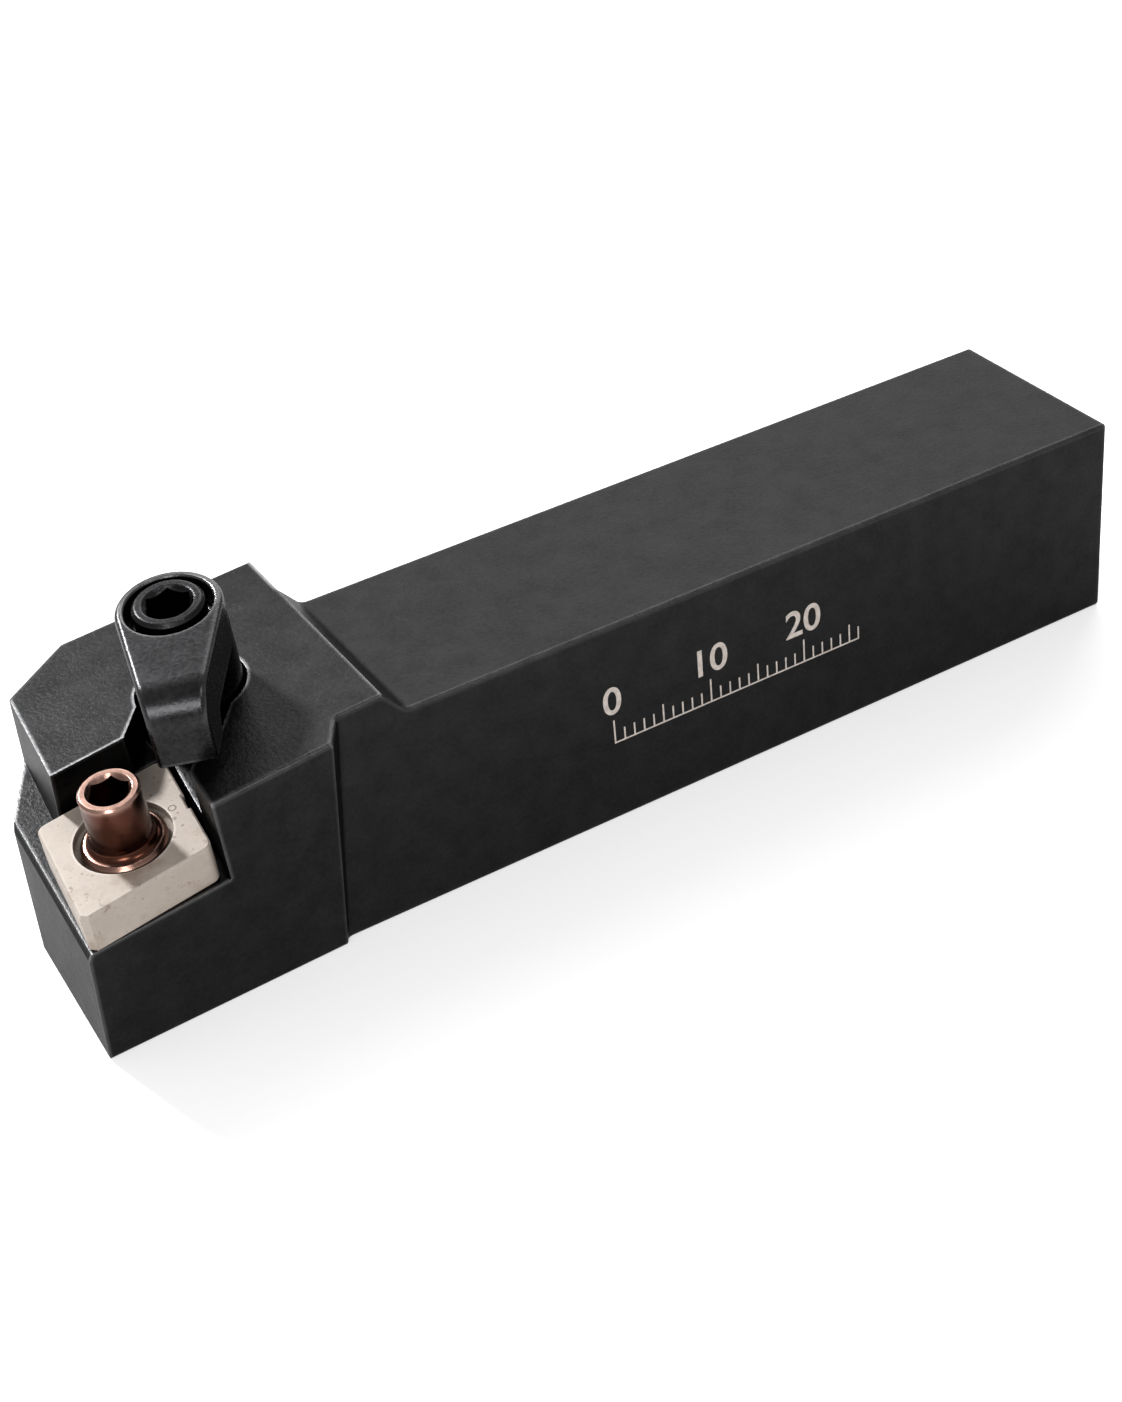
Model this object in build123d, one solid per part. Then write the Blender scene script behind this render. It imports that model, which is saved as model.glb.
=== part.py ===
from build123d import *
import os
from math import cos, radians, sin, tan

# Turning tool holder, external right hand, multi-lock pattern: a square shank with an offset head,
# a shim seat for an 80 degree rhombic insert, a lock pin, a gooseneck clamp and a double-ended
# clamp screw.  +X points to the cutting end, +Y to the cutting side, +Z up.
# The origin is the middle of the shank's base, where the holder rests in a tool post.

# ---------------------------------------------------------------- driving dimensions, mm and degrees

# Shank
shank_width = 20.0
shank_height = 20.0
shank_length = 75.7            # rear end to the head's shoulder
edge_break = 0.35              # rounding of the holder's outer edges

# Head, measured forward from the shoulder and sideways from the shank's centre line
head_rise = 2.3                # top of the head above the shank at the shoulder
head_top_fall = 4.0            # slope of the head's top towards the cutting end
ramp_run = 2.0                 # length of the ramp from the shank's top up to the shoulder
ramp_foot_radius = 1.4
head_length = 28.4             # shoulder to the front face, at the cutting corner
back_overhang = 5.5            # head beyond the back of the shank
side_step_start = 4.3          # where the cutting side steps out from the shank
side_step_run = 1.7
side_step_out = 2.75           # step beyond the shank, at shank height
side_step_radius = 0.7
side_step_lean = 5.5           # step leans back towards the shank
side_flare = 2.6               # cutting side opens towards the front
side_relief = 6.0              # cutting side leans in below the edge
front_relief = 1.8             # front face falls back towards the far side
back_chamfer_reach = 10.5      # back chamfer starts this far behind the front face
back_chamfer_depth = 4.3
back_chamfer_angle = 34.5
front_facet_run = 6.9          # width of the facet at the far front corner
nose_block_setback = 3.2       # upper block behind the front face
nose_block_relief = 5.0
ledge_break_drop = 0.6         # edge break along the front of the pocket's floor
ledge_break_setback = 0.3

# Insert pocket.  The pocket frame sits at the middle of the seat's top face and is tilted by
# both negative angles; its X runs forward and its Y to the cutting side.
insert_inscribed_circle = 12.7
insert_corner_angle = 80.0
insert_thickness = 4.76
insert_hole = 5.16
pocket_setback = 6.2           # pocket centre behind the front face
pocket_inset = 3.0             # pocket centre inside the shank's side
pocket_drop = 3.3              # pocket centre below the shank's top
back_rake = 5.0
side_rake = 5.0
lead_angle_over_square = 5.0   # a 95 degree tool

# Seat
seat_inscribed_circle = 11.5
seat_thickness = 3.85
seat_corner_radius = 0.9
seat_cutting_corner_break = 0.55
seat_notch_width = 1.6         # marker notch in the middle of the rear edge
seat_notch_depth = 0.2
seat_edge_break = 0.15
seat_counterbore = 8.0
seat_counterbore_depth = 0.7
seat_hole_clearance = 0.2

# Lock pin
pin_thread = 6.0
pin_stickout = 5.2
pin_hole_play = 0.16           # between the pin and the insert's hole
pin_top_break = 0.2
pin_flange = 7.0
pin_flange_lip = 0.3           # step round the flange's upper rim
pin_flange_below = 0.1         # flange top under the seat's top
pin_foot_fillet = 0.7
pin_thread_engagement = 8.0
pin_tip_break = 0.45
pin_key = 3.0
pin_key_depth = 3.6
cone_gap = 0.05                # between the flange's cone and the seat's

# Clamp, in the pocket frame's directions, about its own screw axis
clamp_axis_forward = -11.02    # screw axis from the pocket centre
clamp_axis_aside = -9.4
clamp_lift = 0.64              # nose above a seated insert
clamp_heading = 66.5           # where the nose points, from the pocket frame's X
clamp_head_radius = 4.4
clamp_reach = 12.0
clamp_nose_height = 6.35       # top face down to the nose's pad
clamp_nose_width = 4.6
clamp_bend_start = 9.0
clamp_bend_width = 5.2
clamp_pad_length = 2.5
clamp_pad_slant = 1.2          # run of the slope behind the pad
clamp_arm_thickness = 4.3
clamp_arch_radius = 1.2
clamp_barrel_length = 13.0     # top face down to the barrel's foot
clamp_edge_radius = 0.45
clamp_bore_mouth = 7.3
clamp_bore_mouth_depth = 2.0
clamp_mouth_break = 0.15

# Recess and nose slot in the head, about the clamp's screw axis
slot_heading = 52.0            # the slot points at the middle of a seated insert
slot_width = 8.0
slot_front_length = 6.85       # along the wall towards the cutting end
slot_back_length = 6.1         # along the wall towards the shank
slot_throat_reach = 10.3       # where the shank-side wall meets the pocket's rear wall
slot_throat_offset = 2.7
slot_floor_drop = 0.6          # slot floor below the seat's top

# Clamp screw
screw_thread = 6.0
screw_length = 25.0
screw_standout = 0.3           # screw above the clamp's top
screw_end_break = 0.3
screw_key = 3.5
screw_key_depth = 3.4

# Clearances
thread_clearance = 0.05        # radial, all threads are modelled at their outer size
barrel_clearance = 0.3
barrel_travel_below = 1.6      # room under the barrel

# Hexagon sockets
socket_flare = 0.15            # mouth chamfer beyond the hexagon's corners
socket_flare_depth = 0.5
socket_point_depth = 0.8       # drill point below the hexagon

# ---------------------------------------------------------------- frames

shoulder_x = shank_length / 2
front_x = shoulder_x + head_length
half_width = shank_width / 2
far = 200.0                    # larger than the tool in any direction
standing = (Align.CENTER, Align.CENTER, Align.MIN)
hanging = (Align.CENTER, Align.CENTER, Align.MAX)


def tilted_frame():
    """The pocket frame: Z leans towards the cutting corner by both rake angles."""
    normal = Vector(tan(radians(back_rake)), tan(radians(side_rake)), 1)
    origin = Vector(front_x - pocket_setback, half_width - pocket_inset, shank_height - pocket_drop)
    forward = Vector(1, 0, -normal.X)
    return Plane(origin=origin, x_dir=forward, z_dir=normal)


pocket = tilted_frame()
pocket_floor = pocket.offset(-seat_thickness)
clamp_top_height = insert_thickness + clamp_lift + clamp_nose_height
clamp_top = Plane(pocket.offset(clamp_top_height) * Pos(clamp_axis_forward, clamp_axis_aside))
clamp_frame = Plane(clamp_top * Rot(0, 0, clamp_heading))


def beyond(plane):
    """Everything on the outer side of a plane, as a block to cut with."""
    return plane * Box(far, far, far, align=standing)


def rhombus_edges(inscribed_circle):
    """The two edges that leave the cutting corner: along the cutting side and along the front."""
    edge = inscribed_circle / sin(radians(insert_corner_angle))
    lean = 180 + lead_angle_over_square
    side = Vector(edge, 0).rotate(Axis.Z, lean)
    front = Vector(edge, 0).rotate(Axis.Z, lean + insert_corner_angle)
    return side, front


def rhombus(inscribed_circle, height, base=0.0):
    """A rhombic plate whose cutting corner points forward and to the cutting side."""
    side, front = rhombus_edges(inscribed_circle)
    corner = (side + front) * -0.5
    outline = Polyline(corner, corner + side, corner + side + front, corner + front, close=True)
    plate = extrude(make_face(outline), height)
    return pocket * Pos(0, 0, base) * plate


# ---------------------------------------------------------------- holder body

def shank_and_shoulder():
    """The square shank, the ramp up to the shoulder and the core of the head, as one side profile."""
    ramp_start = shoulder_x - ramp_run
    nose_x = front_x - back_chamfer_reach
    rise = shank_height + head_rise
    outline = Polyline(
        (-shoulder_x, 0),
        (nose_x, 0),
        (nose_x, shank_height),
        (shoulder_x, rise),
        (ramp_start, shank_height),
        (-shoulder_x, shank_height),
        close=True,
    )
    profile = make_face(outline)
    foot = profile.vertices().sort_by_distance((ramp_start, shank_height))[0]
    profile = fillet(foot, ramp_foot_radius)
    return extrude(Plane.XZ * profile, half_width, both=True)


def head_outline():
    """Plan of the head, from the shoulder round the back, the front and the cutting side."""
    back = -half_width - back_overhang
    chamfer_start = head_length - back_chamfer_reach
    chamfer_run = back_chamfer_depth / tan(radians(back_chamfer_angle))
    chamfer_end = (chamfer_start + chamfer_run, back + back_chamfer_depth)
    facet_y = chamfer_end[1] + front_facet_run
    front_y = half_width + 2 * side_step_out
    fall = tan(radians(front_relief))
    return Polyline(
        (0, back),
        (chamfer_start, back),
        chamfer_end,
        (head_length - (half_width - facet_y) * fall, facet_y),
        (head_length + (front_y - half_width) * fall, front_y),
        (0, front_y),
        close=True,
    )


def side_step_room():
    """Space beside the shank, back of the step that starts the cutting side."""
    outline = make_face(Polyline(
        (-head_length, half_width),
        (side_step_start, half_width),
        (side_step_start + 2 * side_step_run, half_width + 2 * side_step_out),
        (-head_length, half_width + 2 * side_step_out),
        close=True,
    ))
    step = outline.vertices().sort_by_distance((side_step_start, half_width))[0]
    outline = fillet(step, side_step_radius)
    lean = Vector(-tan(radians(side_step_lean)), 0, 1)
    foot = Pos(shoulder_x - shank_height * lean.X, 0)
    return extrude(foot * outline, (shank_height + head_rise) * lean.length, dir=lean)


def head_block():
    """The offset head with its sloping top and the relief along the cutting side."""
    plan = make_face(head_outline())
    block = extrude(Pos(shoulder_x, 0) * plan, shank_height + head_rise) - side_step_room()
    relief = Vector(-tan(radians(side_flare)), 1, -tan(radians(side_relief)))
    edge = (shoulder_x + side_step_start + side_step_run, half_width + side_step_out, shank_height)
    block -= beyond(Plane(origin=edge, z_dir=relief))
    return block


def head_top():
    """The plane of the head's top face."""
    fall = Vector(tan(radians(head_top_fall)), 0, 1)
    return Plane(origin=(shoulder_x, 0, shank_height + head_rise), z_dir=fall)


def pocket_room():
    """Space over the pocket floor, in front of the rear wall and beside the long wall."""
    side, front = rhombus_edges(insert_inscribed_circle)
    root = (side + front) * 0.5
    out, ahead = root - front * 3, root - side * 3
    outline = Polyline(root, out, out - side * 3, ahead, close=True)
    return pocket_floor * extrude(make_face(outline), far)


def nose_room():
    """Space in front of the upper block, over the level of the pocket floor."""
    lean = radians(nose_block_relief)
    face = Vector(cos(lean), -sin(lean), 0)
    origin = (front_x - nose_block_setback, 0, 0)
    return beyond(Plane(origin=origin, z_dir=face)) & beyond(pocket_floor)


def ledge_break():
    """The edge break along the front of the pocket's floor."""
    front = Vector(1, -tan(radians(front_relief)), 0).normalized()
    up = pocket_floor.z_dir
    corner = Vector(front_x, half_width, 0)
    corner.Z = up.dot(pocket_floor.origin - corner) / up.Z
    edge = corner - front * ledge_break_setback
    slope = front * ledge_break_drop + up * ledge_break_setback
    return beyond(Plane(origin=edge, z_dir=slope)) - beyond(pocket_floor)


def clamp_room():
    """Round recess for the clamp's barrel, with the slot that the nose drops into."""
    recess_depth = clamp_barrel_length + clamp_lift + barrel_travel_below
    recess = Cylinder(clamp_head_radius + barrel_clearance, far, align=standing)
    room = clamp_top * Pos(0, 0, -recess_depth) * recess
    half_slot = slot_width / 2
    outline = Polyline(
        (0, -half_slot),
        (slot_front_length, -half_slot),
        (slot_throat_reach, 0),
        (slot_throat_reach + slot_throat_offset, slot_throat_offset),
        (slot_throat_reach, slot_throat_offset),
        (slot_back_length, half_slot),
        (0, half_slot),
        close=True,
    )
    slot_depth = clamp_top_height + slot_floor_drop
    slot = Pos(0, 0, -slot_depth) * Rot(0, 0, slot_heading) * extrude(make_face(outline), far)
    return room + clamp_top * slot


def outer_edges(body):
    """The base, the shank's rear end and long edges, and the head's outline ahead of the shoulder."""
    base = body.faces().sort_by(Axis.Z)[0].edges().filter_by(lambda edge: edge.length > 2 * side_step_radius)
    rear = body.faces().sort_by(Axis.X)[0]
    top = body.faces().filter_by(lambda face: face.normal_at().dot(head_top().z_dir) > 0.9999)[0]
    long_edges = body.edges().filter_by(Axis.X).filter_by(lambda edge: edge.length > shank_length / 2)
    head_edges = top.edges().filter_by(lambda edge: edge.center().X > shoulder_x + side_step_radius)
    return list(set(base + rear.edges() + long_edges + head_edges))


def thread_bore(frame, thread, depth):
    """A plain bore at a thread's outer size, downwards from a frame."""
    bore = Cylinder(thread / 2 + thread_clearance, depth, align=hanging)
    return frame * bore


def holder_body():
    """Shank and head, milled from one bar."""
    body = shank_and_shoulder() + head_block()
    body -= beyond(head_top())
    body = fillet(outer_edges(body), edge_break)
    body -= pocket_room()
    body -= nose_room()
    body -= ledge_break()
    body -= clamp_room()
    body -= thread_bore(clamp_top, screw_thread, far)
    body -= thread_bore(pocket, pin_thread, seat_thickness + pin_thread_engagement + 1)
    return body


# ---------------------------------------------------------------- seat and lock pin

def seat_notch():
    """Shallow notch through the middle of the seat's rear edge."""
    side, front = rhombus_edges(seat_inscribed_circle)
    notch = Box(2 * seat_notch_depth, seat_notch_width, 2 * seat_thickness)
    return pocket_floor * Pos(side * 0.5) * Rot(0, 0, -lead_angle_over_square) * notch


def seat():
    """Shim seat with a counterbored hole for the pin's flange."""
    plate = rhombus(seat_inscribed_circle, seat_thickness, -seat_thickness)
    upright = plate.edges().filter_by(lambda edge: abs(edge.tangent_at(0.5).dot(pocket.z_dir)) > 0.99)
    cutting_corner = upright.sort_by(lambda edge: edge.center().X + edge.center().Y)[-1]
    plate = fillet([edge for edge in upright if edge != cutting_corner], seat_corner_radius)
    upright = plate.edges().filter_by(lambda edge: abs(edge.tangent_at(0.5).dot(pocket.z_dir)) > 0.99)
    cutting_corner = upright.sort_by(lambda edge: edge.center().X + edge.center().Y)[-1]
    plate = chamfer(cutting_corner, seat_cutting_corner_break)
    plate -= seat_notch()
    rims = plate.faces().filter_by(lambda face: abs(face.normal_at().dot(pocket.z_dir)) > 0.99).edges()
    plate = chamfer(rims, seat_edge_break)
    hole_radius = pin_thread / 2 + seat_hole_clearance
    mouth_radius = seat_counterbore / 2
    cone_foot = -seat_counterbore_depth - (mouth_radius - hole_radius)
    section = Polyline(
        (0, seat_thickness),
        (mouth_radius, seat_thickness),
        (mouth_radius, -seat_counterbore_depth),
        (hole_radius, cone_foot),
        (hole_radius, -2 * seat_thickness),
        (0, -2 * seat_thickness),
        close=True,
    )
    return plate - pocket * revolve(Plane.XZ * make_face(section), Axis.Z)


def hex_socket(frame, across_flats, depth):
    """A hexagon socket with a drilled foot and a chamfered mouth."""
    corner = across_flats / 3 ** 0.5
    prism = extrude(RegularPolygon(corner, 6), -depth)
    rim = corner + socket_flare
    mouth = Cone(rim - socket_flare_depth, rim, socket_flare_depth, align=hanging)
    point = Pos(0, 0, -depth) * Cone(0, across_flats / 2, socket_point_depth, align=hanging)
    return frame * (prism + mouth + point)


def lock_pin():
    """Threaded lock pin: thread, conical flange and the pin that holds the insert's hole."""
    radius = (insert_hole - pin_hole_play) / 2
    flange_top = -pin_flange_below
    rim_foot = -seat_counterbore_depth - (seat_counterbore - pin_flange) / 2 + cone_gap
    cone_foot = rim_foot - (pin_flange - pin_thread) / 2
    thread_foot = -seat_thickness - pin_thread_engagement
    thread_radius = pin_thread / 2
    section = Polyline(
        (0, pin_stickout),
        (radius - pin_top_break, pin_stickout),
        (radius, pin_stickout - pin_top_break),
        (radius, flange_top),
        (pin_flange / 2 - pin_flange_lip, flange_top),
        (pin_flange / 2, flange_top - pin_flange_lip),
        (pin_flange / 2, rim_foot),
        (thread_radius, cone_foot),
        (thread_radius, thread_foot + pin_tip_break),
        (thread_radius - pin_tip_break, thread_foot),
        (0, thread_foot),
        close=True,
    )
    half = make_face(section)
    root = half.vertices().sort_by_distance((radius, flange_top))[0]
    half = fillet(root, pin_foot_fillet)
    pin = revolve(Plane.XZ * half, Axis.Z)
    pin = pocket * pin
    return pin - hex_socket(pocket.offset(pin_stickout), pin_key, pin_key_depth)


# ---------------------------------------------------------------- clamp and screw

def clamp_arm():
    """The arm and its nose: a teardrop in plan, bent down over the pad and arched underneath."""
    half_bend, half_nose = clamp_bend_width / 2, clamp_nose_width / 2
    nose = Polyline(
        (0, half_bend), (clamp_bend_start, half_bend), (clamp_reach, half_nose),
        (clamp_reach, -half_nose), (clamp_bend_start, -half_bend), (0, -half_bend), close=True,
    )
    plan = make_hull(Circle(clamp_head_radius).edges() + nose.edges())
    arm = extrude(plan, -clamp_nose_height)
    pad_start = clamp_reach - clamp_pad_length
    profile = make_face(Polyline(
        (-2 * clamp_head_radius, 0),
        (clamp_reach, 0),
        (clamp_reach, -clamp_nose_height),
        (pad_start, -clamp_nose_height),
        (pad_start - clamp_pad_slant, -clamp_arm_thickness),
        (-2 * clamp_head_radius, -clamp_arm_thickness),
        close=True,
    ))
    bend = profile.vertices().sort_by_distance((clamp_reach, 0))[0]
    profile = fillet(bend, clamp_reach - clamp_bend_start)
    arch = profile.vertices().sort_by_distance((pad_start - clamp_pad_slant, -clamp_arm_thickness))[0]
    profile = fillet(arch, clamp_arch_radius)
    return arm & extrude(Plane.XZ * profile, 2 * clamp_head_radius, both=True)


def clamp():
    """Gooseneck clamp: the arm on a round barrel, bored and threaded for the clamp screw."""
    body = clamp_arm() + Cylinder(clamp_head_radius, clamp_barrel_length, align=hanging)
    rim = body.faces().sort_by(Axis.Z)[-1].outer_wire().edges()
    body = fillet(rim, clamp_edge_radius)
    body -= Cylinder(clamp_bore_mouth / 2, clamp_bore_mouth_depth, align=hanging)
    mouth = body.edges().filter_by(GeomType.CIRCLE).group_by(Axis.Z)[-1]
    body = chamfer(mouth.sort_by(SortBy.RADIUS)[0], clamp_mouth_break)
    return clamp_frame * body - thread_bore(clamp_frame, screw_thread, far)


def clamp_screw():
    """Double-ended screw with opposite threads and a hexagon socket in each end."""
    stud = Cylinder(screw_thread / 2, screw_length, align=hanging)
    head = clamp_frame.offset(screw_standout)
    stud = head * chamfer(stud.edges().filter_by(GeomType.CIRCLE), screw_end_break)
    stud -= hex_socket(head, screw_key, screw_key_depth)
    foot = head.offset(-screw_length)
    upside_down = Plane(foot.origin, foot.x_dir, -foot.z_dir)
    return stud - hex_socket(upside_down, screw_key, screw_key_depth)


parts = {
    "holder_body": holder_body(),
    "seat": seat(),
    "lock_pin": lock_pin(),
    "clamp": clamp(),
    "clamp_screw": clamp_screw(),
}
os.makedirs("parts", exist_ok=True)
for name, solid in parts.items():
    export_step(solid, f"parts/{name}.step")
    print(name, "volume", round(solid.volume, 1))
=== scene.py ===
import bpy
from math import cos, pi, radians, sin
from mathutils import Euler, Matrix, Vector


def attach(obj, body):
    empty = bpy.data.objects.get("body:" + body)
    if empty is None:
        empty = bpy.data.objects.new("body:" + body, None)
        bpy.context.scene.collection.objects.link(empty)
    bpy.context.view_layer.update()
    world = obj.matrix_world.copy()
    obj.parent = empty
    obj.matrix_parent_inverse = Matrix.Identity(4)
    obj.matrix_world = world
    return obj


# %% [markdown]
# A turning tool holder for a lathe: a square steel shank with an offset head. On the head sit a
# carbide seat, a lock pin, and a gooseneck clamp with its double-ended screw. The solids are loaded
# first and never changed. This lesson gives them their finishes, and adds what is too fine for the
# solids: the screw's thread and the etched scale. Keeping the two apart means that a later change
# to the solids needs no change here.

# %% Load the solids
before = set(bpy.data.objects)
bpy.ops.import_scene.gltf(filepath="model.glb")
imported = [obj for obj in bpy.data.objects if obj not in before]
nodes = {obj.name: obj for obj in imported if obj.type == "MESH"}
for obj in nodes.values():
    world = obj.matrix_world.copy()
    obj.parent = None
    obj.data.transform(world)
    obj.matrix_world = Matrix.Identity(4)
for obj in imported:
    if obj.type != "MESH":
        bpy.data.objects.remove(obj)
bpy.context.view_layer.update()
scene = bpy.context.scene
MM = 0.001
print("nodes:", sorted(nodes))

# %% [markdown]
# Turned and ground pieces are round, but their meshes are made of small flat faces. Shading smooth
# across shallow angles and sharp across real edges makes them look round without moving a point.
# A subdivision surface would do it too, but it moves points and pulls true flats out of shape.

# %% Smooth shading with real edges kept sharp
SHARP_ANGLE = radians(28)


def smooth(piece):
    """Shade smooth, but keep every edge that is sharper than the limit."""
    piece.data.shade_smooth()
    piece.data.set_sharp_from_angle(angle=SHARP_ANGLE)


for piece in nodes.values():
    smooth(piece)
print("smoothed", len(nodes), "pieces")

# %% [markdown]
# Every finish here is steel or carbide, and differs in colour, grain and wear. The effects they
# share are node groups: one for the fine grain, one for the worn edges. Each material places the
# same groups with its own numbers, so a better grain is better everywhere at once. Four small
# helpers keep the node work readable: they make a group, add a node, do arithmetic on values, and
# spread one range of values over another.

# %% Helpers for shader nodes
def new_group(name, inputs, outputs):
    """A shader node group with named sockets: inputs are (name, default), outputs are (name, kind)."""
    group = bpy.data.node_groups.new(name, "ShaderNodeTree")
    for title, default in inputs:
        socket = group.interface.new_socket(title, in_out="INPUT", socket_type="NodeSocketFloat")
        socket.default_value = default
    for title, kind in outputs:
        group.interface.new_socket(title, in_out="OUTPUT", socket_type=kind)
    return group, group.nodes.new("NodeGroupInput"), group.nodes.new("NodeGroupOutput")


def add(tree, kind, **settings):
    """A node with its own settings and, by socket name, its input values."""
    node = tree.nodes.new(kind)
    for key, value in settings.items():
        if hasattr(node, key):
            setattr(node, key, value)
        else:
            node.inputs[key.replace("_", " ")].default_value = value
    return node


def maths(tree, operation, first, second=0.0):
    """One maths node on two values, each a number or another node's output."""
    node = add(tree, "ShaderNodeMath", operation=operation)
    for socket, value in zip(node.inputs, (first, second)):
        if isinstance(value, (int, float)):
            socket.default_value = value
        else:
            tree.links.new(value, socket)
    return node.outputs["Value"]


def spread_out(tree, value, low, high, to_low=0.0, to_high=1.0):
    """Map low to high onto to_low to to_high, and hold whatever lies outside at the ends."""
    node = add(
        tree, "ShaderNodeMapRange", clamp=True,
        From_Min=low, From_Max=high, To_Min=to_low, To_Max=to_high,
    )
    tree.links.new(value, node.inputs["Value"])
    return node


print("helpers ready")

# %% [markdown]
# Worn edges and painted highlights: handling rubs the black finish off the outer edges, and the light
# catches them too; the thin bright line painted here stands for both the wear and a painted highlight.
# It could be painted by hand, but a mask that finds the edges fits any shape. Rays sent into the metal
# from near an outer edge soon meet another face, and from the middle of a face they don't, so their
# share is that mask. It finds small roundings too, which a test for sharp corners alone would miss.
# Edges that face up get more of it than the ones low down, which paints the light from above. The
# Bevel node rounds, for the light only, the edges that the solids leave sharp.

# %% The worn edge and painted highlight group
# The edge mask below paints a pale line that is partly wear and partly a painted highlight.
OPEN_METAL = 0.97                 # share of rays that get away, where an edge starts to show
FULL_EDGE = 0.70                  # the same, where the finish is rubbed most
EDGE_RAYS = 8
BEVEL_RAYS = 6
# Faces that look up get more of the painted highlight, as the light falls from above, and more wear.
LOW_DOWN, TURNED_UP = -0.1, 0.5   # how far a face looks up, from hardly touched to fully touched
LEAST_WEAR_AND_HIGHLIGHT = 0.35
PATCHY_SCALE = 420.0              # patches a metre along an edge
NOISE_MIDDLE = (0.35, 0.65)       # most of a noise's values lie between these


def edge_group():
    """Mask of the rubbed edges, which also paints their highlight, more on up-facing ones, and a normal
    that is rounded over the sharp ones.
    """
    group, given, out = new_group(
        "WornEdgeAndHighlight",
        [("Width", 0.0004), ("Rounding", 0.0001), ("Breakup", 0.5)],
        [("Mask", "NodeSocketFloat"), ("Normal", "NodeSocketVector")],
    )
    link = group.links.new
    near = add(group, "ShaderNodeAmbientOcclusion", samples=EDGE_RAYS, inside=True, only_local=True)
    link(given.outputs["Width"], near.inputs["Distance"])
    rub_and_highlight = spread_out(group, near.outputs["AO"], OPEN_METAL, FULL_EDGE)
    facing = add(group, "ShaderNodeNewGeometry")
    parts = add(group, "ShaderNodeSeparateXYZ")
    link(facing.outputs["Normal"], parts.inputs["Vector"])
    upward_wear_and_highlight = spread_out(group, parts.outputs["Z"], LOW_DOWN, TURNED_UP, LEAST_WEAR_AND_HIGHLIGHT)
    place = add(group, "ShaderNodeTexCoord")
    patchy = add(group, "ShaderNodeTexNoise", Scale=PATCHY_SCALE, Detail=3.0, Roughness=0.65)
    link(place.outputs["Object"], patchy.inputs["Vector"])
    keep = spread_out(group, patchy.outputs["Fac"], *NOISE_MIDDLE)
    link(maths(group, "SUBTRACT", 1.0, given.outputs["Breakup"]), keep.inputs["To Min"])
    touched_and_highlit = maths(group, "MULTIPLY", rub_and_highlight.outputs["Result"], upward_wear_and_highlight.outputs["Result"])
    link(maths(group, "MULTIPLY", touched_and_highlit, keep.outputs["Result"]), out.inputs["Mask"])
    bevel = add(group, "ShaderNodeBevel", samples=BEVEL_RAYS)
    link(given.outputs["Rounding"], bevel.inputs["Radius"])
    link(bevel.outputs["Normal"], out.inputs["Normal"])
    return group


worn_and_highlit_edge = edge_group()
print("group", worn_and_highlit_edge.name, [s.name for s in worn_and_highlit_edge.interface.items_tree])

# %% [markdown]
# Grain: blasted and ground metal has pits of a few hundredths of a millimetre, and larger, soft
# patches where the finish took unevenly. Two sizes of noise give both, without an image. The fine
# one also goes to the bump, so the light breaks up on it.

# %% The grain group
def grain_group():
    """Fine pits and larger patches, both from 0 to 1."""
    group, given, out = new_group(
        "SurfaceGrain",
        [("Fine", 2600.0), ("Patch", 420.0)],
        [("Height", "NodeSocketFloat"), ("Patches", "NodeSocketFloat")],
    )
    link = group.links.new
    place = add(group, "ShaderNodeTexCoord")
    fine = add(group, "ShaderNodeTexNoise", Detail=4.0, Roughness=0.6)
    patch = add(group, "ShaderNodeTexNoise", Detail=5.0, Roughness=0.55)
    for noise, size, result in ((fine, "Fine", "Height"), (patch, "Patch", "Patches")):
        link(place.outputs["Object"], noise.inputs["Vector"])
        link(given.outputs[size], noise.inputs["Scale"])
        link(noise.outputs["Fac"], out.inputs[result])
    return group


surface_grain = grain_group()
print("group", surface_grain.name, [s.name for s in surface_grain.interface.items_tree])

# %% [markdown]
# One recipe makes all the metal finishes. The grain moves the colour and roughness a little either
# side of their middle values, and the worn edge mask mixes towards a pale colour that paints both the
# bare metal and a highlight. Rough dark metal also mirrors less at a glancing angle than a clean
# mirror would, and the shader's Specular Tint is the socket that says so.

# %% The metal recipe
GLOSS_MIDDLE = (0.3, 0.7)         # the noise values that give the glossiest and the dullest spots


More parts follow.
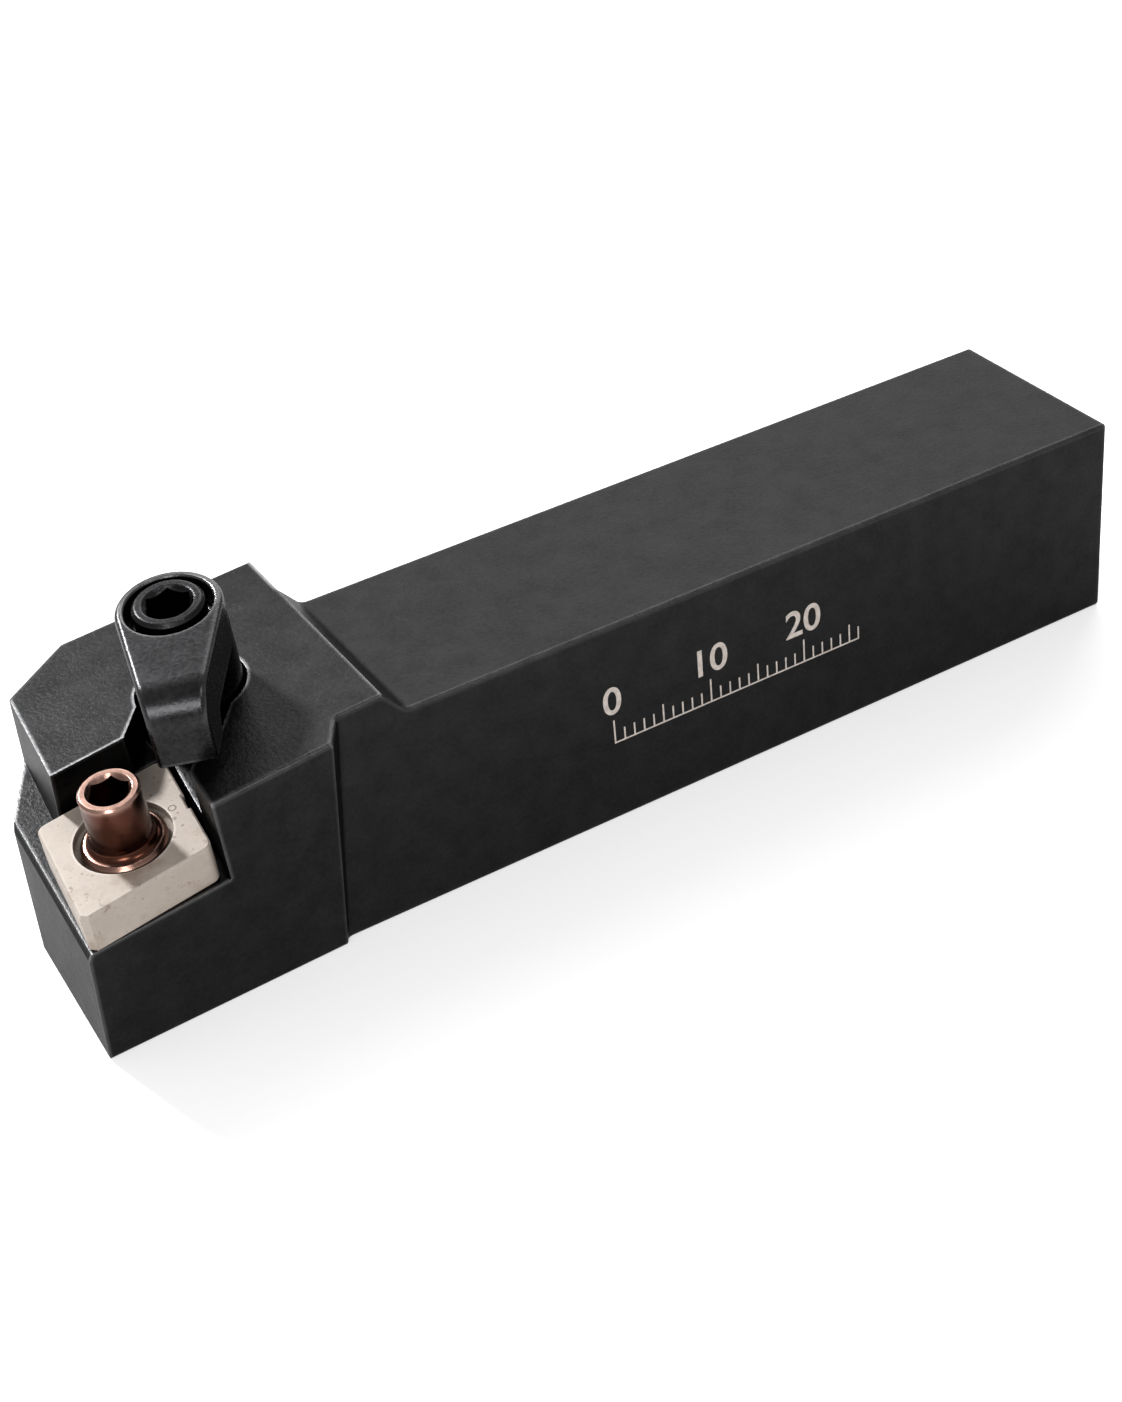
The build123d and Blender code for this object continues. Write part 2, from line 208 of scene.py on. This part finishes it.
def metal(name, colour, spread, bare_and_highlight, roughness, rough_spread, grain, bump, edge, metallic=1.0, graze=1.0):
    """A metal finish: colour is its middle, spread how much the grain moves it, and the edge colour is the
    pale line that wear and a painted highlight show.

    The grain is (fine, patch), in marks a metre, and bump is its height in mm. The edge is (width
    in mm, rounding in mm, breakup, strength of the wear and painted highlight). Graze is how strongly it
    mirrors at a glancing angle.
    """
    width, rounding, breakup, wear_and_highlight = edge
    fine, patch = grain
    material = bpy.data.materials.new(name)
    material.use_nodes = True
    tree = material.node_tree
    link = tree.links.new
    shader = tree.nodes["Principled BSDF"]
    shader.inputs["Metallic"].default_value = metallic
    shader.inputs["Specular Tint"].default_value = (graze, graze, graze, 1)
    pits = add(tree, "ShaderNodeGroup", node_tree=surface_grain, Fine=fine, Patch=patch)
    worn_and_highlit_node = add(
        tree, "ShaderNodeGroup", node_tree=worn_and_highlit_edge,
        Width=width * MM, Rounding=rounding * MM, Breakup=breakup,
    )
    tone = maths(tree, "MULTIPLY", maths(tree, "ADD", pits.outputs["Height"], pits.outputs["Patches"]), 0.5)
    body = add(tree, "ShaderNodeValToRGB")
    darkest, lightest = body.color_ramp.elements
    darkest.position, lightest.position = NOISE_MIDDLE
    darkest.color = (*(c * (1 - spread) for c in colour), 1)
    lightest.color = (*(c * (1 + spread) for c in colour), 1)
    link(tone, body.inputs["Fac"])
    # The edge mask mixes in a pale colour that paints the light catching the edges as well as their wear.
    rubbed_and_highlit = add(tree, "ShaderNodeMix", data_type="RGBA")
    link(maths(tree, "MULTIPLY", worn_and_highlit_node.outputs["Mask"], wear_and_highlight), rubbed_and_highlit.inputs["Factor"])
    link(body.outputs["Color"], rubbed_and_highlit.inputs["A"])
    rubbed_and_highlit.inputs["B"].default_value = (*bare_and_highlight, 1)
    link(rubbed_and_highlit.outputs["Result"], shader.inputs["Base Color"])
    gloss = spread_out(tree, tone, *GLOSS_MIDDLE, roughness - rough_spread, roughness + rough_spread)
    link(gloss.outputs["Result"], shader.inputs["Roughness"])
    relief = add(tree, "ShaderNodeBump", name="Grain", Strength=1.0, Distance=bump * MM)
    link(pits.outputs["Height"], relief.inputs["Height"])
    link(worn_and_highlit_node.outputs["Normal"], relief.inputs["Normal"])
    link(relief.outputs["Normal"], shader.inputs["Normal"])
    return material


print("metal recipe ready")

# %% [markdown]
# The finishes. The holder is blasted and chemically blackened, which leaves it dark and dull. The
# clamp and its screw are blackened too, but tumbled smooth first, so they shine more. The seat is
# ground carbide, pale and dull, and so little metallic that it is lit more like a stone. The lock
# pin is hardened and oiled to a red-brown bronze.

# %% The finishes
PALE_STEEL = (0.60, 0.60, 0.61)
black_steel = metal(
    "BlackSteel", colour=(0.0165, 0.0165, 0.0169), spread=0.25, bare_and_highlight=(0.55, 0.55, 0.56),
    roughness=0.40, rough_spread=0.05, grain=(2600, 420), bump=0.05,
    edge=(0.36, 0.10, 0.2, 0.27), graze=0.55,
)
clamp_steel = metal(
    "ClampSteel", colour=(0.022, 0.022, 0.023), spread=0.4, bare_and_highlight=PALE_STEEL,
    roughness=0.28, rough_spread=0.06, grain=(2600, 220), bump=0.025,
    edge=(0.36, 0.16, 0.0, 0.22), graze=0.75,
)
screw_steel = metal(
    "ScrewSteel", colour=(0.0112, 0.0112, 0.0120), spread=0.5, bare_and_highlight=PALE_STEEL,
    roughness=0.27, rough_spread=0.06, grain=(2600, 220), bump=0.025,
    edge=(0.40, 0.18, 0.0, 0.08), graze=0.75,
)
ground_carbide = metal(
    "GroundCarbide", colour=(0.278, 0.237, 0.202), spread=0.12, bare_and_highlight=(0.66, 0.61, 0.56),
    roughness=0.55, rough_spread=0.05, grain=(1500, 300), bump=0.01,
    edge=(0.25, 0.08, 0.2, 0.3), metallic=0.1,
)
bronzed_steel = metal(
    "BronzedSteel", colour=(0.066, 0.0245, 0.016), spread=0.15, bare_and_highlight=(0.60, 0.38, 0.31),
    roughness=0.24, rough_spread=0.05, grain=(2200, 260), bump=0.006,
    # The pin's wide edge mask paints its pale top ring, partly wear and partly a painted highlight.
    edge=(0.70, 0.10, 0.0, 0.75),
)
FINISHES = {
    "holder_body": black_steel,
    "clamp": clamp_steel,
    "clamp_screw": screw_steel,
    "seat": ground_carbide,
    "lock_pin": bronzed_steel,
}
for name, finish in FINISHES.items():
    nodes[name].data.materials.clear()
    nodes[name].data.materials.append(finish)
print("finishes:", {name: finish.name for name, finish in FINISHES.items()})

# %% [markdown]
# The screw's thread is a ridge that climbs one pitch a turn about the screw's leaning axis, below
# its top end. It could be cut as a helix, but so little of it shows that a bump is enough: its
# height comes from the distance along the axis less the share of a turn round it, folded to and fro.

# %% The screw's thread
SCREW_AXIS = Vector((0.086827, 0.086827, 0.992433))
SCREW_TOP = Vector((0.050163, -0.001344, 0.030135))
THREAD_PITCH = 1.0 * MM
THREAD_START = -1.2 * MM          # along the axis from the top end
THREAD_DEPTH = 0.25 * MM


def add_thread(material):
    """Put the thread's ridge under the grain of the screw's finish."""
    tree = material.node_tree
    link = tree.links.new
    place = add(tree, "ShaderNodeTexCoord")
    local = add(tree, "ShaderNodeVectorMath", operation="SUBTRACT")
    link(place.outputs["Object"], local.inputs[0])
    local.inputs[1].default_value = SCREW_TOP
    along = add(tree, "ShaderNodeVectorMath", operation="DOT_PRODUCT")
    link(local.outputs["Vector"], along.inputs[0])
    along.inputs[1].default_value = SCREW_AXIS
    height = along.outputs["Value"]
    across = add(tree, "ShaderNodeSeparateXYZ")
    link(local.outputs["Vector"], across.inputs["Vector"])
    off_x = maths(tree, "SUBTRACT", across.outputs["X"], maths(tree, "MULTIPLY", height, SCREW_AXIS.x))
    off_y = maths(tree, "SUBTRACT", across.outputs["Y"], maths(tree, "MULTIPLY", height, SCREW_AXIS.y))
    turn = maths(tree, "DIVIDE", maths(tree, "ARCTAN2", off_y, off_x), 2 * pi)
    climb = maths(tree, "SUBTRACT", maths(tree, "DIVIDE", height, THREAD_PITCH), turn)
    below_top = maths(tree, "LESS_THAN", height, THREAD_START)
    ridge = add(tree, "ShaderNodeBump", name="Thread", Strength=1.0, Distance=THREAD_DEPTH)
    link(maths(tree, "MULTIPLY", maths(tree, "PINGPONG", climb, 0.5), below_top), ridge.inputs["Height"])
    grain_bump = tree.nodes["Grain"]
    link(grain_bump.inputs["Normal"].links[0].from_socket, ridge.inputs["Normal"])
    link(ridge.outputs["Normal"], grain_bump.inputs["Normal"])


add_thread(screw_steel)
print("thread of", THREAD_PITCH / MM, "mm pitch on", screw_steel.name)

# %% [markdown]
# The seat has small brown stains from coolant, and one tiny punched ring. Each is a mask: noise cut
# off high up leaves scattered specks, and the points at one distance from a centre are a ring. The
# masks mix brown into the colour one after the other.

# %% The seat's stains and ring
RING_AT = (0.05559, 0.00653, 0.01713)
RING_RADIUS = 0.30 * MM
RING_LINE = 0.13 * MM
RING_STRENGTH = 0.9
RING_BROWN = (0.09, 0.06, 0.045)
STAINS = (                        # scale, where it starts, where it is full, strength, brown
    (330, 0.54, 0.72, 0.65, (0.17, 0.115, 0.08)),
    (1500, 0.60, 0.70, 0.75, (0.10, 0.065, 0.045)),
)


def ring_mask(tree, place):
    """A thin ring about one point."""
    away = add(tree, "ShaderNodeVectorMath", operation="DISTANCE")
    tree.links.new(place, away.inputs[0])
    away.inputs[1].default_value = RING_AT
    off_line = maths(tree, "ABSOLUTE", maths(tree, "SUBTRACT", away.outputs["Value"], RING_RADIUS))
    return maths(tree, "MULTIPLY", maths(tree, "LESS_THAN", off_line, RING_LINE / 2), RING_STRENGTH)


def stain_mask(tree, place, scale, start, full, strength):
    """Scattered specks, cut from the peaks of a noise."""
    spots = add(tree, "ShaderNodeTexNoise", Scale=scale, Detail=5.0, Roughness=0.6)
    tree.links.new(place, spots.inputs["Vector"])
    return spread_out(tree, spots.outputs["Fac"], start, full, 0.0, strength).outputs["Result"]


def add_stains(material):
    """Lay the ring and the stains over the colour that the seat's finish already has."""
    tree = material.node_tree
    shader = tree.nodes["Principled BSDF"]
    place = add(tree, "ShaderNodeTexCoord").outputs["Object"]
    marks = [(ring_mask(tree, place), RING_BROWN)]
    marks += [(stain_mask(tree, place, *stain), brown) for *stain, brown in STAINS]
    colour = shader.inputs["Base Color"].links[0].from_socket
    for mask, brown in marks:
        mix = add(tree, "ShaderNodeMix", data_type="RGBA")
        tree.links.new(mask, mix.inputs["Factor"])
        tree.links.new(colour, mix.inputs["A"])
        mix.inputs["B"].default_value = (*brown, 1)
        colour = mix.outputs["Result"]
    tree.links.new(colour, shader.inputs["Base Color"])


add_stains(ground_carbide)
print("ring and", len(STAINS), "kinds of stain on", ground_carbide.name)

# %% [markdown]
# The scale etched on the cutting side: a fine line for every millimetre, longer ones at five and
# ten, and plain numbers. An image of it would blur close up, so the marks are flat shapes a
# hundredth of a millimetre proud of the shank, and they ride with the holder. The figures are built
# as text first and turned into meshes. Etching burns the black off unevenly, so its paint is
# mottled.

# %% The etched paint
def etched_mark():
    """The pale, mottled surface of a burnt mark."""
    material = bpy.data.materials.new("EtchedMark")
    material.use_nodes = True
    tree = material.node_tree
    shader = tree.nodes["Principled BSDF"]
    shader.inputs["Roughness"].default_value = 0.6
    place = add(tree, "ShaderNodeTexCoord")
    noise = add(tree, "ShaderNodeTexNoise", Scale=1800.0, Detail=4.0)
    tree.links.new(place.outputs["Object"], noise.inputs["Vector"])
    tone = add(tree, "ShaderNodeValToRGB")
    darkest, lightest = tone.color_ramp.elements
    darkest.position, lightest.position = 0.3, 0.7
    darkest.color = (0.27, 0.235, 0.21, 1)
    lightest.color = (0.44, 0.39, 0.355, 1)
    tree.links.new(noise.outputs["Fac"], tone.inputs["Fac"])
    tree.links.new(tone.outputs["Color"], shader.inputs["Base Color"])
    return material


etch_paint = etched_mark()
print("paint", etch_paint.name)

# %% The scale's lines and figures
SCALE_LENGTH = 26                 # mm
LINE_WIDTH = 0.16                 # mm
TEN_RISE, FIVE_RISE, ONE_RISE = 2.3, 1.8, 1.2  # mm
FIGURE_SIZE = 3.9                 # mm
FIGURE_WEIGHT = 0.05              # mm that the strokes are thickened by


def scale_lines():
    """One flat mesh with a rectangle for each millimetre line, and the long base line."""
    points, faces = [], []

    def block(left, right, foot, head):
        start = len(points)
        corners = ((left, foot), (right, foot), (right, head), (left, head))
        points.extend((x * MM, z * MM, 0) for x, z in corners)
        faces.append(tuple(range(start, start + 4)))

    half = LINE_WIDTH / 2
    for step in range(SCALE_LENGTH + 1):
        rise = TEN_RISE if step % 10 == 0 else FIVE_RISE if step % 5 == 0 else ONE_RISE
        block(step - half, step + half, 0, rise)
    block(-half, SCALE_LENGTH + half, -LINE_WIDTH, 0)
    mesh = bpy.data.meshes.new("scale_lines")
    mesh.from_pydata(points, [], faces)
    return mesh


def figure(number):
    """A plain number as a flat mesh, centred over its line."""
    text = bpy.data.curves.new("figure", "FONT")
    text.body = str(number)
    text.size = FIGURE_SIZE * MM
    text.align_x = "CENTER"
    text.offset = FIGURE_WEIGHT * MM
    piece = bpy.data.objects.new("figure", text)
    mesh = bpy.data.meshes.new_from_object(piece)
    bpy.data.objects.remove(piece)
    return mesh


print("scale of", SCALE_LENGTH, "mm")

# %% Lay the scale on the shank
SCALE_START = 17.0                # mm ahead of the shank's middle
SCALE_HEIGHT = 8.2                # foot of the lines above the base, mm
FIGURE_LIFT = 3.0                 # foot of the figures above the foot of the lines, mm
SHANK_SIDE = 10.0                 # mm from the shank's middle
PROUD = 0.012                     # mm


def etch(name, mesh, along, height):
    """Lay a flat mesh on the shank's cutting side, reading from the head towards the rear end."""
    piece = bpy.data.objects.new(name, mesh)
    scene.collection.objects.link(piece)
    turn = Matrix(((-1, 0, 0), (0, 0, 1), (0, 1, 0))).to_4x4()
    place = ((SCALE_START - along) * MM, (SHANK_SIDE + PROUD) * MM, height * MM)
    piece.matrix_world = Matrix.Translation(place) @ turn
    mesh.materials.clear()
    mesh.materials.append(etch_paint)
    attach(piece, "holder")
    return piece


scale = [etch("scale_lines", scale_lines(), 0, SCALE_HEIGHT)]
for number in range(0, SCALE_LENGTH, 10):
    scale.append(etch("scale_%d" % number, figure(number), number, SCALE_HEIGHT + FIGURE_LIFT))
print("etched", [piece.name for piece in scale])

# %% [markdown]
# The floor is a plain pale sheet, large enough to fill the view. A little light of its own keeps
# the shadows on it soft and pale, as on a lit white table.

# %% The floor
FLOOR_HALF = 1.5                  # m
FLOOR_GREY = 0.66
FLOOR_GLOW = 0.36


def sheet(name, half):
    """A square flat mesh in the floor's plane."""
    mesh = bpy.data.meshes.new(name)
    corners = [(-half, -half, 0), (half, -half, 0), (half, half, 0), (-half, half, 0)]
    mesh.from_pydata(corners, [], [(0, 1, 2, 3)])
    piece = bpy.data.objects.new(name, mesh)
    scene.collection.objects.link(piece)
    return piece


floor = sheet("floor", FLOOR_HALF)
floor_paint = bpy.data.materials.new("FloorPaint")
floor_paint.use_nodes = True
floor_shader = floor_paint.node_tree.nodes["Principled BSDF"]
floor_shader.inputs["Base Color"].default_value = (FLOOR_GREY, FLOOR_GREY, FLOOR_GREY, 1)
floor_shader.inputs["Roughness"].default_value = 0.9
floor_shader.inputs["Specular IOR Level"].default_value = 0.1
floor_shader.inputs["Emission Color"].default_value = (1, 1, 1, 1)
floor_shader.inputs["Emission Strength"].default_value = FLOOR_GLOW
floor.data.materials.append(floor_paint)
print("floor", 2 * FLOOR_HALF, "m square")

# %% [markdown]
# Light: a pale room all round, and four round softboxes. Dark metal shows little but reflections,
# so each softbox stands where one kind of surface mirrors it to the viewer. Back is wide and lights
# the flat tops. Key is small, stands higher behind, and throws the shadows of the pin and the
# clamp. Top draws the long upper edges. Front shows in the clamp's bend and the pin's flange.

# %% The room and the softboxes
ROOM_LIGHT = 0.55
LOOK_AT = Vector((0.03, 0, 0.018))

world = bpy.data.worlds.new("Room")
scene.world = world
world.use_nodes = True
room = world.node_tree.nodes["Background"]
room.inputs["Color"].default_value = (1, 1, 1, 1)
room.inputs["Strength"].default_value = ROOM_LIGHT


def softbox(name, heading, elevation, distance, size, energy):
    """A round softbox that faces the tool. The heading is from +X, anticlockwise, seen from above."""
    data = bpy.data.lights.new(name, "AREA")
    data.shape = "DISK"
    data.size = size
    data.energy = energy
    lamp = bpy.data.objects.new(name, data)
    scene.collection.objects.link(lamp)
    turn, rise = radians(heading), radians(elevation)
    way = Vector((cos(rise) * cos(turn), cos(rise) * sin(turn), sin(rise)))
    lamp.location = LOOK_AT + way * distance
    lamp.rotation_euler = (-way).to_track_quat("-Z", "Y").to_euler()
    print(name, [round(v, 3) for v in lamp.location])


softbox("Key", heading=-73.7, elevation=42, distance=0.9, size=0.10, energy=13.0)
softbox("Back", heading=-127, elevation=32, distance=1.0, size=0.9, energy=8.0)
softbox("Top", heading=98, elevation=58, distance=0.7, size=0.12, energy=0.8)
softbox("Front", heading=55, elevation=30, distance=0.8, size=0.30, energy=3.4)

# %% [markdown]
# The camera stands off the cutting side, a little ahead of the tool and well above it. Its lens is
# long enough to keep the shank's edges nearly parallel. The shift only places the tool in the frame.

# %% The camera
LENS = 62.80                      # mm, on a sensor 36 mm wide
CAMERA_AT = (0.09983, 0.15876, 0.13373)
CAMERA_TURN = (57.194, 4.609, 148.738)  # degrees
SHIFT_X, SHIFT_Y = -0.0083, -0.0817

camera_data = bpy.data.cameras.new("Camera")
camera_data.lens = LENS
camera_data.sensor_width = 36.0
camera_data.shift_x = SHIFT_X
camera_data.shift_y = SHIFT_Y
camera_data.clip_start = 0.01
camera = bpy.data.objects.new("Camera", camera_data)
scene.collection.objects.link(camera)
camera.location = CAMERA_AT
camera.rotation_euler = Euler([radians(angle) for angle in CAMERA_TURN])
scene.camera = camera
scene.view_settings.view_transform = "Standard"
print("camera", [round(v, 4) for v in camera.location])
